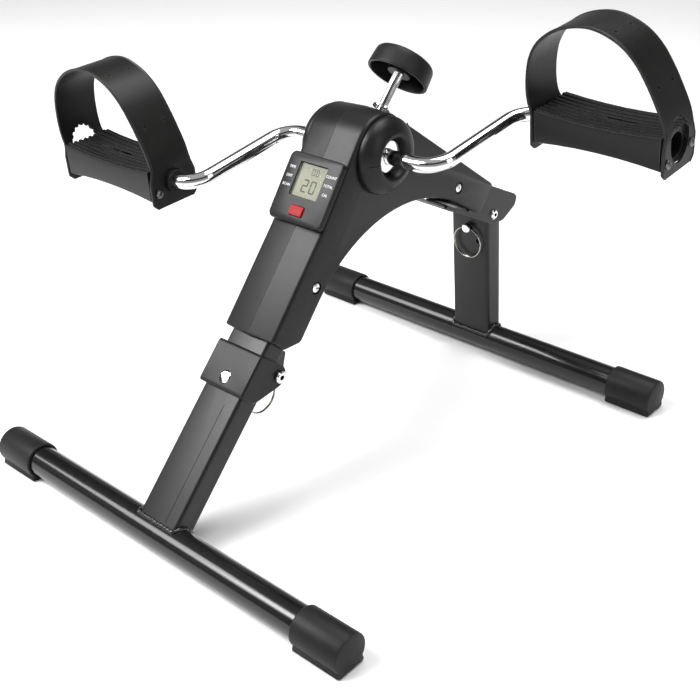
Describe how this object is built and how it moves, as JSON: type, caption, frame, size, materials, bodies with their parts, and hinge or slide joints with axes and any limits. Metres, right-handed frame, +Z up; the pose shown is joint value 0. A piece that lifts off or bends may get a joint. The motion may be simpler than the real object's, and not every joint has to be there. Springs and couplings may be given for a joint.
{
  "type": "folding pedal exerciser",
  "caption": "Folding pedal exerciser: bent crank with strapped pedals in an arched housing, display console, tension knob and folding legs on floor bars.",
  "frame": {"origin": "on the floor, under the centre of the bounding box", "axes": "+X along the floor bars and the crank's axis; +Y from the front leg, on the display's side, to the rear leg; +Z up"},
  "size_m": [0.4425, 0.4326, 0.3488],
  "materials": {
    "paint": "semi-gloss black powder coat",
    "shell": "satin black moulded plastic",
    "cap": "matte black moulded",
    "pedal": "satin black moulded plastic",
    "strap": "satin black, stiff moulded band",
    "chrome": "polished plate",
    "steel": "zinc plated",
    "red": "red moulded button",
    "lens": "clear window over a grey-green panel",
    "board": "solder-masked board",
    "felt": "felt-lined band"
  },
  "bodies": {
    "body": {"housing_left": "shell", "housing_right": "shell", "hub_cover_left": "shell", "hub_cover_right": "shell", "housing_screw_front": "chrome", "housing_screw_rear": "chrome", "frame_front_tube": "paint", "front_hinge_lug": "paint", "frame_rear_tube": "steel", "rear_bracket": "paint", "rear_bracket_plate": "steel", "rear_pivot_bolt": "chrome", "bearing_plate_left": "steel", "bearing_plate_right": "steel", "crank_bushing_left": "steel", "crank_bushing_right": "steel", "friction_band": "felt", "tension_washer": "chrome", "console_case": "shell", "display_lens": "lens", "lcd_panel": "lens", "circuit_board": "board", "battery": "steel", "speed_sensor": "cap"},
    "front_leg": {"front_leg_tube": "paint", "front_floor_bar": "paint", "front_cap_left": "cap", "front_cap_right": "cap", "front_hinge_block": "shell", "front_pivot_bolt": "chrome"},
    "front_pin": {"front_lock_pin": "chrome"},
    "front_ring": {"front_pull_ring": "chrome"},
    "rear_leg": {"rear_leg_tube": "paint", "rear_floor_bar": "paint", "rear_cap_left": "cap", "rear_cap_right": "cap"},
    "rear_pin": {"rear_lock_pin": "chrome"},
    "rear_ring": {"rear_pull_ring": "chrome"},
    "crank": {"crankshaft": "chrome", "friction_drum": "steel", "crank_magnet": "steel", "crank_washer_left": "chrome", "crank_washer_right": "chrome", "pedal_keeper_left": "steel", "pedal_keeper_right": "steel"},
    "pedal_left": {"pedal_body_left": "pedal", "pedal_strap_left": "strap", "strap_screw_left_1": "chrome", "strap_screw_left_2": "chrome", "strap_screw_left_3": "chrome"},
    "pedal_right": {"pedal_body_right": "pedal", "pedal_strap_right": "strap", "strap_screw_right_1": "chrome", "strap_screw_right_2": "chrome", "strap_screw_right_3": "chrome"},
    "tension_stud": {"tension_stud": "chrome"},
    "tension_knob": {"tension_knob": "shell"},
    "start_button": {"start_button": "red"}
  },
  "joints": [
    {"name": "front_leg_fold", "type": "hinge", "parent": "body", "child": "front_leg", "pos_m": [0, -0.09092, 0.10784], "axis": [1, 0, 0], "range_deg": [0, 85]},
    {"name": "front_pin_pull", "type": "slide", "parent": "front_leg", "child": "front_pin", "axis": [0, 0.712, -0.7021], "range_m": [0, 0.012]},
    {"name": "front_ring_swing", "type": "hinge", "parent": "front_pin", "child": "front_ring", "pos_m": [0, -0.10014, 0.09122], "axis": [0, 0.7021, 0.712], "range_deg": [-40, 40]},
    {"name": "rear_leg_fold", "type": "hinge", "parent": "body", "child": "rear_leg", "pos_m": [0, 0.1808, 0.1456], "axis": [1, 0, 0], "range_deg": [-48, 0]},
    {"name": "rear_pin_pull", "type": "slide", "parent": "rear_leg", "child": "rear_pin", "axis": [0, -0.9992, -0.0404], "range_m": [0, 0.01]},
    {"name": "rear_ring_swing", "type": "hinge", "parent": "rear_pin", "child": "rear_ring", "pos_m": [0, 0.17376, 0.12907], "axis": [-1, 0, 0], "range_deg": [-3, 45]},
    {"name": "crank_spin", "type": "hinge", "parent": "body", "child": "crank", "pos_m": [0, 0.0319, 0.246], "axis": [1, 0, 0], "continuous": true},
    {"name": "left_pedal_spin", "type": "hinge", "parent": "crank", "child": "pedal_left", "pos_m": [-0.1615, -0.0662, 0.22658], "axis": [1, 0, 0], "continuous": true},
    {"name": "right_pedal_spin", "type": "hinge", "parent": "crank", "child": "pedal_right", "pos_m": [0.1615, 0.13, 0.26542], "axis": [1, 0, 0], "continuous": true},
    {"name": "tension_slide", "type": "slide", "parent": "body", "child": "tension_stud", "axis": [0, 0.7001, 0.7141], "range_m": [-0.0037, 0.0037]},
    {"name": "knob_turn", "type": "hinge", "parent": "tension_stud", "child": "tension_knob", "pos_m": [0, 0.0799, 0.28968], "axis": [0, 0.7001, 0.7141], "range_deg": [-1080, 1080]},
    {"name": "button_press", "type": "slide", "parent": "body", "child": "start_button", "axis": [0, 0.8007, -0.599], "range_m": [0, 0.0008], "stiffness_N_per_m": 400}
  ],
  "couplings": [
    {"joint": "knob_turn", "follows": "tension_slide", "rad_per_m": 5026.6}
  ]
}
